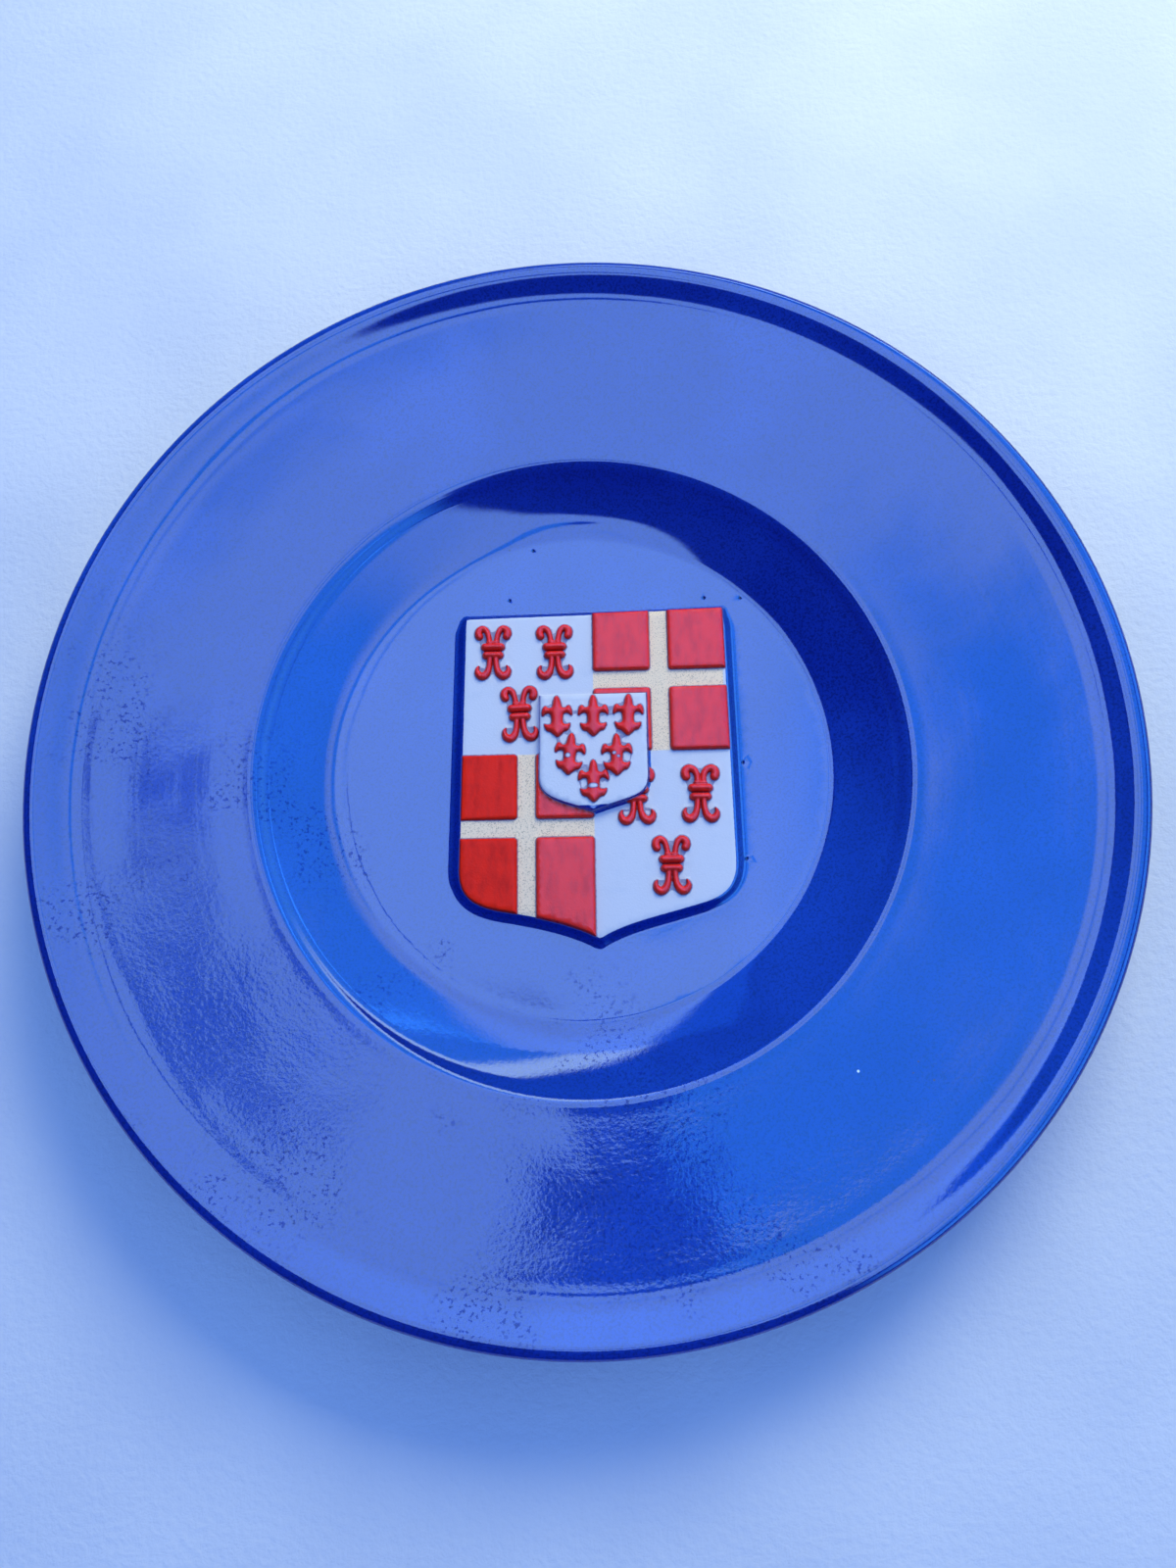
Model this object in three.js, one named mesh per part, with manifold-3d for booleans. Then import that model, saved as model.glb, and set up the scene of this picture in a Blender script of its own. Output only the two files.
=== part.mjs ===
// An armorial wall plate: one glazed ceramic piece, thrown round, with a quartered
// shield of arms moulded in relief on the floor of its well. It lies face up on its
// foot ring. Millimetres, +Z up, origin at the middle of the foot ring's underside,
// +Y towards the top of the shield.

import * as THREE from 'three';
import * as BufferGeometryUtils from 'three/addons/utils/BufferGeometryUtils.js';
import Module from 'manifold-3d';

// Plate, from the middle of the well outwards
const wellFloorRadius = 70;
const floorThickness = 5;
const wellWallRadius = 25.5;
const wellWallSlope = 46;
const shoulderRadius = 6;
const flangeInnerSlope = 5.5;
const flangeOuterSlope = 13;
const coveWidth = 6;
const coveSlope = 40;
const lipRadius = 2.6;
const rimRadius = 150;
const wallThickness = 6.2;
const turns = 64;

// Foot ring under the edge of the floor, with two holes for a hanging wire
const footHeight = 5;
const footWidth = 5.6;
const footOverhang = 10;
const footEdge = 0.8;
const wireHoleRadius = 1.2;
const wireHoleSpacing = 18;
const wireHoleHeight = 2.5;

// Shield of arms: its quarters meet at the fess point
const fessPoint = new THREE.Vector2( 3.9, 4.2 );
const shieldHeight = 94;
const fieldRise = 2.4;
const shieldDraft = 0.7;
const skirtSpread = 3.4;
const skirtRise = 0.9;

// Raised squares in the angles of the two crosses, each centred in its quarter
const crossWidth = 5.4;
const crossCentreX = 19;
const crossCentreY = 21.4;
const squareRise = 1.3;
const squareBevel = 0.45;
const squareMargin = 0.35;

// Small shield over the fess point
const smallShieldHeight = 34.2;
const smallShieldRise = 2.3;
const smallShieldBevel = 0.5;

// Charges: double crooks on the quarters, lilies on the small shield
const crookHeight = 16.6;
const crookRise = 1.3;
const lilyHeight = 12.2;
const lilyRise = 1.1;
const chargeBevel = 0.4;
const chargeTip = chargeBevel + 0.12;

// How far one part of the relief reaches into what carries it
const rooting = 0.6;

// The shields and the charges are drawn at these heights and scaled to the ones above
const shieldDrawn = 94;
const smallShieldDrawn = 34.2;
const crookDrawn = 16.6;
const lilyDrawn = 12.2;
const shieldUnit = shieldHeight / shieldDrawn;
const smallShieldUnit = smallShieldHeight / smallShieldDrawn;
const crookUnit = crookHeight / crookDrawn;
const lilyUnit = lilyHeight / lilyDrawn;

const floorTop = footHeight + floorThickness;
const fieldTop = floorTop + fieldRise;
const smallShieldTop = fieldTop + smallShieldRise;
const footOuterRadius = wellFloorRadius + footOverhang;
const footInnerRadius = footOuterRadius - footWidth;

const wasm = await Module();
wasm.setup();

// Solids to and from three.js geometry

function solidFrom( geometry ) {

	const bare = geometry.index ? geometry.toNonIndexed() : geometry.clone();
	bare.deleteAttribute( 'normal' );
	bare.deleteAttribute( 'uv' );
	const welded = BufferGeometryUtils.mergeVertices( bare, 1e-4 );
	return new wasm.Manifold( new wasm.Mesh( {
		numProp: 3,
		vertProperties: new Float32Array( welded.attributes.position.array ),
		triVerts: new Uint32Array( welded.index.array )
	} ) );

}

function geometryFrom( solid ) {

	const mesh = solid.getMesh();
	const geometry = new THREE.BufferGeometry();
	geometry.setAttribute( 'position', new THREE.BufferAttribute( mesh.vertProperties, 3 ) );
	geometry.setIndex( new THREE.BufferAttribute( mesh.triVerts, 1 ) );
	geometry.computeVertexNormals();
	return geometry;

}

// A plate of the given outline from bottom to top, its upper edge bevelled inwards

function slab( shape, bottom, top, bevel, curveSegments = 6 ) {

	const geometry = new THREE.ExtrudeGeometry( shape, {
		depth: top - bottom - 2 * bevel,
		bevelEnabled: bevel > 0,
		bevelThickness: bevel,
		bevelSize: bevel,
		bevelOffset: - bevel,
		bevelSegments: 1,
		curveSegments
	} );
	geometry.translate( 0, 0, bottom + bevel );
	return solidFrom( geometry );

}

// Half section of the plate as points (radius, height), from the axis over the
// face to the rim and back underneath

function rise( point, heading, radius, target, steps ) {

	// Runs on from a point along an arc until its heading has turned to the target
	const points = [];
	for ( let step = 1; step <= steps; step ++ ) {

		const angle = heading + ( target - heading ) * step / steps;
		points.push( new THREE.Vector2(
			point.x + radius * ( Math.sin( angle ) - Math.sin( heading ) ),
			point.y + radius * ( Math.cos( heading ) - Math.cos( angle ) )
		) );

	}

	return points;

}

function plateSection() {

	const wallSlope = THREE.MathUtils.degToRad( wellWallSlope );
	const innerSlope = THREE.MathUtils.degToRad( flangeInnerSlope );
	const outerSlope = THREE.MathUtils.degToRad( flangeOuterSlope );
	const rimSlope = THREE.MathUtils.degToRad( coveSlope );

	const floorEdge = new THREE.Vector2( wellFloorRadius, floorTop );
	const wall = rise( floorEdge, 0, wellWallRadius, wallSlope, 5 );
	const shoulder = rise( wall.at( - 1 ), wallSlope, - shoulderRadius, innerSlope, 3 );

	const lipCentreRadius = rimRadius - lipRadius;
	const coveEndRadius = lipCentreRadius - lipRadius * Math.sin( rimSlope );
	const flangeWidth = coveEndRadius - coveWidth - shoulder.at( - 1 ).x;
	const flangeArc = flangeWidth / ( Math.sin( outerSlope ) - Math.sin( innerSlope ) );
	const flange = rise( shoulder.at( - 1 ), innerSlope, flangeArc, outerSlope, 2 );
	const coveArc = coveWidth / ( Math.sin( rimSlope ) - Math.sin( outerSlope ) );
	const cove = rise( flange.at( - 1 ), outerSlope, coveArc, rimSlope, 2 );
	const lip = rise( cove.at( - 1 ), rimSlope, - lipRadius, - Math.PI + outerSlope, 5 );

	// The underside keeps the wall's thickness under the well wall and the flange,
	// thinning to the lip's own thickness at the rim
	const face = [ ...wall, ...shoulder, ...flange ];
	const slopes = [
		...wall.map( ( point, i ) => wallSlope * ( i + 1 ) / wall.length ),
		...shoulder.map( ( point, i ) => wallSlope + ( innerSlope - wallSlope ) * ( i + 1 ) / shoulder.length ),
		...flange.map( ( point, i ) => innerSlope + ( outerSlope - innerSlope ) * ( i + 1 ) / flange.length )
	];
	const underside = face.map( ( point, i ) => {

		const outward = ( point.x - wellFloorRadius ) / ( rimRadius - wellFloorRadius );
		const thickness = THREE.MathUtils.lerp( wallThickness, 2 * lipRadius, outward );
		return new THREE.Vector2( point.x, point.y - thickness / Math.cos( slopes[ i ] ) );

	} ).filter( ( point ) => point.x > footOuterRadius + footEdge );

	const footTop = underside[ 0 ].y - footEdge;
	const foot = [
		new THREE.Vector2( footOuterRadius, footTop ),
		new THREE.Vector2( footOuterRadius, footEdge ),
		new THREE.Vector2( footOuterRadius - footEdge, 0 ),
		new THREE.Vector2( footInnerRadius + footEdge, 0 ),
		new THREE.Vector2( footInnerRadius, footEdge ),
		new THREE.Vector2( footInnerRadius, footHeight - footEdge ),
		new THREE.Vector2( footInnerRadius - footEdge, footHeight )
	];

	return [
		new THREE.Vector2( 0, footHeight ),
		...foot.reverse(),
		...underside,
		...lip.reverse(),
		...cove.reverse(),
		...flange.reverse(),
		...shoulder.reverse(),
		...wall.reverse(),
		floorEdge,
		new THREE.Vector2( 0, floorTop )
	];

}

function plate() {

	const turned = new THREE.LatheGeometry( plateSection(), turns );
	turned.rotateX( Math.PI / 2 );
	return solidFrom( turned );

}

// Two holes drilled through the foot ring on the side of the shield's top

function wireHoles() {

	return [ - 1, 1 ].map( ( side ) => {

		const drill = new THREE.CylinderGeometry( wireHoleRadius, wireHoleRadius, footWidth * 3, 12 );
		drill.translate( 0, footOuterRadius - footWidth / 2, wireHoleHeight );
		drill.rotateZ( - side * wireHoleSpacing / 2 / footOuterRadius );
		return solidFrom( drill );

	} );

}

// Outline of the shield about its fess point: straight flaring sides, round lower
// corners and an ogee down to the tip

function shieldOutline() {

	const unit = shieldUnit;
	const shape = new THREE.Shape();
	shape.moveTo( - 36.5 * unit, 41.1 * unit );
	shape.lineTo( - 37.7 * unit, - 33 * unit );
	shape.bezierCurveTo( - 37.7 * unit, - 40 * unit, - 34 * unit, - 42.6 * unit, - 27 * unit, - 44.2 * unit );
	shape.bezierCurveTo( - 17 * unit, - 46 * unit, - 7 * unit, - 48 * unit, unit, - 52.3 * unit );
	shape.bezierCurveTo( 8 * unit, - 48 * unit, 18 * unit, - 46.3 * unit, 28 * unit, - 43.4 * unit );
	shape.bezierCurveTo( 35 * unit, - 41.6 * unit, 38.7 * unit, - 39 * unit, 38.7 * unit, - 31 * unit );
	shape.lineTo( 37.7 * unit, 42.3 * unit );
	shape.closePath();
	return shape;

}

// Outline of the small shield about the fess point

function smallShieldOutline() {

	const unit = smallShieldUnit;
	const shape = new THREE.Shape();
	shape.moveTo( - 15.1 * unit, 16.8 * unit );
	shape.lineTo( - 15.4 * unit, - 7.5 * unit );
	shape.bezierCurveTo(
		- 15.2 * unit, - 13.4 * unit,
		- 9.5 * unit, - 14.6 * unit,
		- 0.2 * unit, - 17.4 * unit
	);
	shape.bezierCurveTo( 9 * unit, - 13.6 * unit, 15.4 * unit, - 14.6 * unit, 15.4 * unit, - 7 * unit );
	shape.lineTo( 15.2 * unit, 16.8 * unit );
	shape.closePath();
	return shape;

}

// One raised square fills each angle of a cross and runs out to the quarter's edge

function crossSquares( side ) {

	const reach = shieldHeight;
	const crossCentre = new THREE.Vector2( crossCentreX, crossCentreY ).multiplyScalar( side * shieldUnit );
	const edge = slab( shieldOutline(), fieldTop - rooting, fieldTop + squareRise, squareMargin, 7 );
	const squares = [];
	for ( const across of [ - 1, 1 ] ) {

		for ( const up of [ - 1, 1 ] ) {

			const nearX = crossCentre.x + across * crossWidth / 2;
			const nearY = crossCentre.y + up * crossWidth / 2;
			const farX = across === side ? side * reach : 0;
			const farY = up === side ? side * reach : 0;
			const block = new THREE.Shape();
			block.moveTo( Math.min( nearX, farX ), Math.min( nearY, farY ) );
			block.lineTo( Math.max( nearX, farX ), Math.min( nearY, farY ) );
			block.lineTo( Math.max( nearX, farX ), Math.max( nearY, farY ) );
			block.lineTo( Math.min( nearX, farX ), Math.max( nearY, farY ) );
			block.closePath();
			const raised = slab( block, fieldTop - rooting, fieldTop + squareRise, squareBevel );
			squares.push( raised.intersect( edge ) );

		}

	}

	return squares;

}

// A flat band along a spine of points, with a half-width at each and blunt ends

function band( spine, halfWidths ) {

	const last = spine.length - 1;
	const left = [];
	const right = [];
	for ( let i = 0; i <= last; i ++ ) {

		const ahead = spine[ Math.min( i + 1, last ) ].clone().sub( spine[ Math.max( i - 1, 0 ) ] );
		const across = new THREE.Vector2( - ahead.y, ahead.x ).setLength( halfWidths[ i ] );
		left.push( spine[ i ].clone().add( across ) );
		right.push( spine[ i ].clone().sub( across ) );

	}

	const startCap = right[ 0 ].clone().rotateAround( spine[ 0 ], - Math.PI / 2 );
	const endCap = left[ last ].clone().rotateAround( spine[ last ], - Math.PI / 2 );
	return new THREE.Shape( [ startCap, ...left, endCap, ...right.reverse() ] );

}

// A double crook, upright about its waist: two crooks curl out and down at the top,
// two legs curl out and up at the foot, and two rounded bands tie the waist

function crookBands() {

	const unit = crookUnit;
	const arcRadius = 1.45 * unit;
	const stemStart = new THREE.Vector2( 0.9, 1.2 ).multiplyScalar( unit );
	const crookCentre = new THREE.Vector2( 2.8, 5.45 ).multiplyScalar( unit );
	const legCentre = new THREE.Vector2( 2.8, 6.05 ).multiplyScalar( unit );
	const crookTurn = 0.85;
	const legTurn = 0.7;
	const arcSteps = 5;
	const limbs = [];
	for ( const side of [ - 1, 1 ] ) {

		for ( const up of [ - 1, 1 ] ) {

			// Each limb leaves the waist straight and turns over an arc, drawn here for
			// the upper right one and mirrored
			const centre = up > 0 ? crookCentre : legCentre;
			const turn = up > 0 ? crookTurn : legTurn;
			const spine = [ stemStart.clone() ];
			const halfWidths = [ unit ];
			for ( let step = 0; step <= arcSteps; step ++ ) {

				const angle = Math.PI - ( Math.PI + turn ) * step / arcSteps;
				const fromCentre = new THREE.Vector2( Math.cos( angle ), Math.sin( angle ) ).multiplyScalar( arcRadius );
				spine.push( centre.clone().add( fromCentre ) );
				const taper = up < 0 ? Math.max( 0, step - arcSteps + 2 ) / 2 : 0;
				halfWidths.push( THREE.MathUtils.lerp( 1.02 * unit, chargeTip, taper ) );

			}

			const mirrored = spine.map( ( point ) => new THREE.Vector2( side * point.x, up * point.y ) );
			limbs.push( band( mirrored, halfWidths ) );

		}

	}

	const tie = ( height, reach, halfWidth ) => {

		const ends = [ new THREE.Vector2( - reach, height ), new THREE.Vector2( reach, height ) ];
		return band( ends.map( ( end ) => end.multiplyScalar( unit ) ), [ halfWidth * unit, halfWidth * unit ] );

	};

	return { limbs, ties: [ tie( 1.15, 2.6, 1.05 ), tie( - 1.2, 2.2, 1.15 ) ] };

}

// A lily, upright about its middle: a pointed petal, two drooping side petals, a
// stout body, two short lower arms and a pointed tail

function lilyBands() {

	const unit = lilyUnit;
	const tip = chargeTip / unit;
	const leaf = ( places, halfWidths ) => band(
		places.map( ( [ x, y ] ) => new THREE.Vector2( x * unit, y * unit ) ),
		halfWidths.map( ( halfWidth ) => halfWidth * unit )
	);
	const leaves = [
		leaf( [ [ 0, 6.1 - tip ], [ 0, 4 ], [ 0, 2 ] ], [ tip, 1.15, 1.05 ] ),
		leaf( [ [ 0, 1.6 ], [ 0, - 0.7 ], [ 0, - 3 ] ], [ 1.3, 1.5, 1.6 ] ),
		leaf( [ [ 0, - 2.6 ], [ 0, - 4.2 ], [ 0, tip - 6.1 ] ], [ 1.7, 1.3, tip ] )
	];
	for ( const side of [ - 1, 1 ] ) {

		const petal = [ [ 0, 1.9 ], [ side * 1.9, 2.1 ], [ side * 3, 1.9 ], [ side * 3.5, 0.7 ] ];
		const arm = [ [ 0, - 3.2 ], [ side * 1.9, - 3.3 ], [ side * 3, - 2.7 ] ];
		leaves.push( leaf( petal, [ 0.85, 0.8, 0.85, 0.6 ] ) );
		leaves.push( leaf( arm, [ 0.9, 0.9, 0.6 ] ) );

	}

	return leaves;

}

// Charges raised on a surface of the given height

function raiseCrook( base ) {

	const { limbs, ties } = crookBands();
	return wasm.Manifold.union( [
		...limbs.map( ( shape ) => slab( shape, base - rooting, base + crookRise, chargeBevel ) ),
		...ties.map( ( shape ) => slab( shape, base - rooting, base + crookRise + chargeBevel, chargeBevel ) )
	] );

}

function raiseLily( base ) {

	const raiseLeaf = ( leaf ) => slab( leaf, base - rooting, base + lilyRise, chargeBevel );
	return wasm.Manifold.union( lilyBands().map( raiseLeaf ) );

}

// The whole shield, standing on the floor of the well

function shield() {

	const skirt = new THREE.ExtrudeGeometry( shieldOutline(), {
		depth: rooting,
		bevelThickness: skirtRise,
		bevelSize: skirtSpread,
		bevelSegments: 1,
		curveSegments: 7
	} );
	skirt.translate( 0, 0, floorTop - rooting );

	// Two crooks over one on the first and fourth quarters, one half hidden by the
	// small shield
	const crookPlaces = [
		[ - 28.6, 30.6 ], [ - 10.8, 30.4 ], [ - 20.9, 12 ],
		[ 29.5, - 12.4 ], [ 11.7, - 12.6 ], [ 20.9, - 32.2 ]
	];
	const crook = raiseCrook( fieldTop );
	const crooks = crookPlaces.map( ( [ x, y ] ) => crook.translate( x * shieldUnit, y * shieldUnit, 0 ) );

	// Three lilies, then two, then one on the small shield
	const lilyPlaces = [
		[ - 10.1, 10 ], [ 0.1, 10 ], [ 9.9, 10 ],
		[ - 6.6, - 1 ], [ 6.5, - 1.5 ],
		[ - 0.1, - 8.9 ]
	];
	const lily = raiseLily( smallShieldTop );
	const placeLily = ( [ x, y ] ) => lily.translate( x * smallShieldUnit, y * smallShieldUnit, 0 );
	const lilies = lilyPlaces.map( placeLily );

	return wasm.Manifold.union( [
		solidFrom( skirt ),
		slab( shieldOutline(), floorTop - rooting, fieldTop, shieldDraft, 7 ),
		...crossSquares( 1 ),
		...crossSquares( - 1 ),
		...crooks,
		slab( smallShieldOutline(), floorTop - rooting, smallShieldTop, smallShieldBevel ),
		...lilies
	] ).translate( fessPoint.x, fessPoint.y, 0 );

}

const glaze = new THREE.MeshStandardMaterial( { color: 0x1f4fc4, roughness: 0.12, metalness: 0 } );
const armorialPlate = new THREE.Mesh(
	geometryFrom( wasm.Manifold.union( [ plate(), shield() ] ).subtract( wasm.Manifold.union( wireHoles() ) ) ),
	glaze
);
armorialPlate.name = 'armorial_plate';

const model = new THREE.Group();
model.add( armorialPlate );

export default model;
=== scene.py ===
"""An armorial plate: glossy cobalt glaze over a moulded shield of arms, painted white, red and gold."""

import math

import bmesh
import bpy
import numpy as np
from mathutils import Matrix, Vector, geometry, noise


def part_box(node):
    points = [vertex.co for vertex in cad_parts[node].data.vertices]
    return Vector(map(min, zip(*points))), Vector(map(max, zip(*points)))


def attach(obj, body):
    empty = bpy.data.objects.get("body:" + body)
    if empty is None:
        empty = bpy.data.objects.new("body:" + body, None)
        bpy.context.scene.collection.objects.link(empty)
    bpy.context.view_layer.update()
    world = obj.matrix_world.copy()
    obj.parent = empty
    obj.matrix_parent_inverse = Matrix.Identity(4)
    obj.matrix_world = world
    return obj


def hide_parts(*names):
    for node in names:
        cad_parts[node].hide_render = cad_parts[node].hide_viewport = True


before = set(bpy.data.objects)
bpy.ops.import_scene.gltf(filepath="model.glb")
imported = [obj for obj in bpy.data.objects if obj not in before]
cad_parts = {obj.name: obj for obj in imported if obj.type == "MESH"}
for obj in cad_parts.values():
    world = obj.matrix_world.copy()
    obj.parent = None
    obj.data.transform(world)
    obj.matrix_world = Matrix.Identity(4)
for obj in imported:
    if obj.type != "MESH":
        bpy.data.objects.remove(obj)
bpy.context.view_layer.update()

# Sizes are in millimetres until a mesh is made
MM = 0.001
NODE = "armorial_plate"
rim_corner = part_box(NODE)[1]
RIM_RADIUS = rim_corner[0] / MM

# Plate, as it is constructed
FOOT_HEIGHT = 5.0
FLOOR_TOP = 10.0
WELL_FLOOR_RADIUS = 70.0
WELL_WALL_RADIUS = 25.5
WELL_WALL_SLOPE = math.radians(46)
SHOULDER_RADIUS = 6.0
FLANGE_INNER_SLOPE = math.radians(5.5)
FLANGE_OUTER_SLOPE = math.radians(13)
# These two set where the flange ends and how thick the plate is there; RIM_SLOPES shapes the rim itself
COVE_WIDTH = 7.67
LIP_RADIUS = 2.6
WALL_THICKNESS = 6.2
FOOT_OUTER_RADIUS = 80.0
FOOT_INNER_RADIUS = 74.4
FOOT_EDGE = 0.8
# Middle of the foot ring's rounded edges, from the corner
FOOT_EDGE_MIDDLE = (0.25, 0.24)
RECESS_RADII = (66, 54, 42, 30, 18, 7)
WIRE_HOLE_RADIUS = 1.2
WIRE_HOLE_SPACING = 18.0
WIRE_HOLE_HEIGHT = 2.5
WIRE_HOLE_LENGTH = 12.0

# Shield of arms, about its fess point
FESS_POINT = (3.9, 4.2)
FIELD_RISE = 2.4
RAMP_WIDTH = 3.5
RAMP_WIDTH_TOP = 1.4
RAMP_WIDTH_FOOT = 2.4
# Heights over which the ramp's width changes: about the shield's top edge, and below the fess point
RAMP_TOP_FADE = (-6, 1)
RAMP_FOOT_FADE = (32, 44)
# How far inside the outline the ramp reaches its full height, and how hollow it is
RAMP_INSET = 0.35
RAMP_HOLLOW = 1.25
SQUARE_RISE = 1.3
SQUARE_SHOULDER = 0.6
SQUARE_TILT = math.radians(2)
SQUARE_MARGIN = 0.2
SQUARE_CORNER = 0.9
SQUARE_EDGE = 0.1
SQUARE_REACH = 60.0
CROSS_CENTRE = (19.0, 21.4)
CROSS_WIDTH = 5.4
SMALL_SHIELD_RISE = 2.3
SMALL_SHOULDER = 0.6
FILLET_HEIGHT = 0.35
FILLET_WIDTH = 0.9
CROOK_RISE = 1.3
CROOK_ROUNDNESS = 2.2
LILY_RISE = 1.1
LILY_SHOULDER = 1.15
LILY_BODY_RISE = 0.3
LILY_BODY_WIDTH = 1.5

# Pinholes in the glaze: places on the floor of the well, about the plate's middle
PINHOLES = ((45.7, 0.9), (45.6, -26.5), (36.6, 50.7), (47.1, 50.4), (-20.2, 51.5), (-13.2, 67.1))
PINHOLE_RADIUS = 0.62
PINHOLE_DEPTH = 0.45
PINHOLE_BOTTOM = 0.1
# Rings of mesh points round a pinhole: share of its radius, and number of points
PINHOLE_RINGS = ((0.35, 8), (0.6, 10), (0.85, 12), (1.1, 12))

# Unevenness of the face, wide and fine, which fades out before the lip
WAVE_WIDE = 46
WAVE_WIDE_HEIGHT = 0.16
WAVE_WIDE_SEED = 1.7
WAVE_FINE = 15
WAVE_FINE_HEIGHT = 0.035
WAVE_FINE_SEED = 5.1
WAVE_END = 143.0
WAVE_FADE = 12.0

# Corner where the floor meets the wall of the well. The wall starts there as a cone, rounded in a little
# at its foot and broadly on the left. The cone is weaker below the shield's foot, and fades away above the
# shield's top, where the round wall alone is left
CORNER_SLOPE = math.radians(21.5)
CORNER_ROUNDING = 0.8
CORNER_ROUNDING_LEFT = 9.5
LEFT_SPREAD = math.radians(65)
FOOT_CORNER = math.radians(-90)
FOOT_CORNER_SPREAD = math.radians(28)
FOOT_CORNER_SHARE = 0.5
SOFT_CORNER = math.radians(88)
SOFT_CORNER_SPREAD = math.radians(24)
RAGGED_SCALE = 7
RAGGED_SEED = 3.3

# Mesh
SEGMENTS = 256
PATCH_RADIUS = 69.4
PATCH_MARGIN = 0.1
RASTER = 0.2
RASTER_X = (-44.0, 45.0)
RASTER_Y = (-59.0, 49.0)
SPREAD_REACH = 80
SPREAD_MARGIN = 1.2
FLOOR_STEP = 2.4
LEFT_WALL_STEP = 1.3
FIELD_STEP = 1.2
CHARGE_STEP = 0.3
WALL_STEPS = 14
BEND_STEPS = 9
FLANGE_STEPS = 16
LIP_STEPS = 20
LIP_FACE_STEPS = 11
HOLE_SIDES = 20


# Outlines and distance fields

def bezier(a, b, c, d, steps=14):
    """Points along a cubic curve, its start left out."""
    a, b, c, d = (np.array(p, float) for p in (a, b, c, d))
    t = np.linspace(0, 1, steps + 1)[1:, None]
    return (1 - t) ** 3 * a + 3 * (1 - t) ** 2 * t * b + 3 * (1 - t) * t ** 2 * c + t ** 3 * d


def shield_outline():
    """Straight flaring sides, round lower corners and an ogee down to the tip."""
    return np.vstack([
        [(-36.5, 41.1)], [(-37.7, -33)],
        bezier((-37.7, -33), (-37.7, -40), (-34, -42.6), (-27, -44.2)),
        bezier((-27, -44.2), (-17, -46), (-7, -48), (1, -52.3)),
        bezier((1, -52.3), (8, -48), (18, -46.3), (28, -43.4)),
        bezier((28, -43.4), (35, -41.6), (38.7, -39), (38.7, -31)),
        [(37.7, 42.3)],
    ])


def small_shield_outline():
    return np.vstack([
        [(-15.1, 16.8)], [(-15.4, -7.5)],
        bezier((-15.4, -7.5), (-15.2, -13.4), (-9.5, -14.6), (-0.2, -17.4)),
        bezier((-0.2, -17.4), (9, -13.6), (15.4, -14.6), (15.4, -7)),
        [(15.2, 16.8)],
    ])


def outline_distance(x, y, corners):
    """Signed distance to a closed outline, negative inside it."""
    nearest = np.full(x.shape, np.inf)
    inside = np.zeros(x.shape, bool)
    for (ax, ay), (bx, by) in zip(corners, np.roll(corners, -1, axis=0)):
        ex, ey = bx - ax, by - ay
        wx, wy = x - ax, y - ay
        along = np.clip((wx * ex + wy * ey) / (ex * ex + ey * ey), 0, 1)
        nearest = np.minimum(nearest, np.hypot(wx - ex * along, wy - ey * along))
        if ey != 0:
            inside ^= ((ay > y) != (by > y)) & (x < ax + ex * (y - ay) / ey)
    return np.where(inside, -nearest, nearest)


def block_distance(x, y, low, high, corner):
    """Signed distance to an upright rectangle with round corners, negative inside it."""
    qx = np.abs(x - (low[0] + high[0]) / 2) - (high[0] - low[0]) / 2 + corner
    qy = np.abs(y - (low[1] + high[1]) / 2) - (high[1] - low[1]) / 2 + corner
    return np.hypot(np.maximum(qx, 0), np.maximum(qy, 0)) + np.minimum(np.maximum(qx, qy), 0) - corner


def stroke_fields(x, y, spine, half_widths):
    """Over a tapering stroke: distance to its edge, and how far from spine to edge a point is, 0 to 1."""
    edge = np.full(x.shape, np.inf)
    share = np.full(x.shape, np.inf)
    for a, b, wa, wb in zip(spine[:-1], spine[1:], half_widths[:-1], half_widths[1:]):
        ex, ey = b[0] - a[0], b[1] - a[1]
        wx, wy = x - a[0], y - a[1]
        along = np.clip((wx * ex + wy * ey) / (ex * ex + ey * ey), 0, 1)
        away = np.hypot(wx - ex * along, wy - ey * along)
        width = wa + (wb - wa) * along
        edge = np.minimum(edge, away - width)
        share = np.minimum(share, away / width)
    return edge, share


# Charges, each upright about its own middle

def smooth_spine(points, widths, steps=4):
    """A smooth curve through given points, with the half-widths carried along it."""
    rows = np.column_stack([points, widths])
    ends = np.vstack([2 * rows[0] - rows[1], rows, 2 * rows[-1] - rows[-2]])
    t = np.arange(steps)[:, None] / steps
    out = []
    for a, b, c, d in zip(ends[:-3], ends[1:-2], ends[2:-1], ends[3:]):
        out.append(0.5 * (2 * b + (c - a) * t + (2 * a - 5 * b + 4 * c - d) * t ** 2
                          + (3 * b - a - 3 * c + d) * t ** 3))
    out = np.vstack(out + [rows[-1:]])
    return out[:, :2], np.maximum(out[:, 2], 0.15)


# Right half of a double crook: a crook that curls down above the waist and a leg that curls up below it,
# as points along the spine and the half-width at each
CROOK_TOP = (
    [(0.85, 2.2), (1.1, 3.7), (1.4, 5.2), (1.95, 6.5), (2.95, 7.1), (3.9, 6.6), (4.2, 5.6), (3.95, 4.75)],
    [0.9, 0.78, 0.78, 0.86, 0.95, 1.06, 1.12, 1.1],
)
CROOK_LEG = (
    [(0.85, -2.0), (0.95, -3.4), (1.15, -4.9), (1.75, -6.4), (2.8, -7.25), (3.85, -6.95), (4.45, -5.95),
     (4.4, -5.0), (4.05, -4.4)],
    [0.85, 0.8, 0.85, 1.05, 1.15, 1.05, 0.8, 0.5, 0.22],
)
# How far merging draws in the first points of an upper stem, and widens it
MERGE_SHIFTS = (0.1, 0.3, 0.45, 0.3)
MERGE_WIDENING = 0.1
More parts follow.
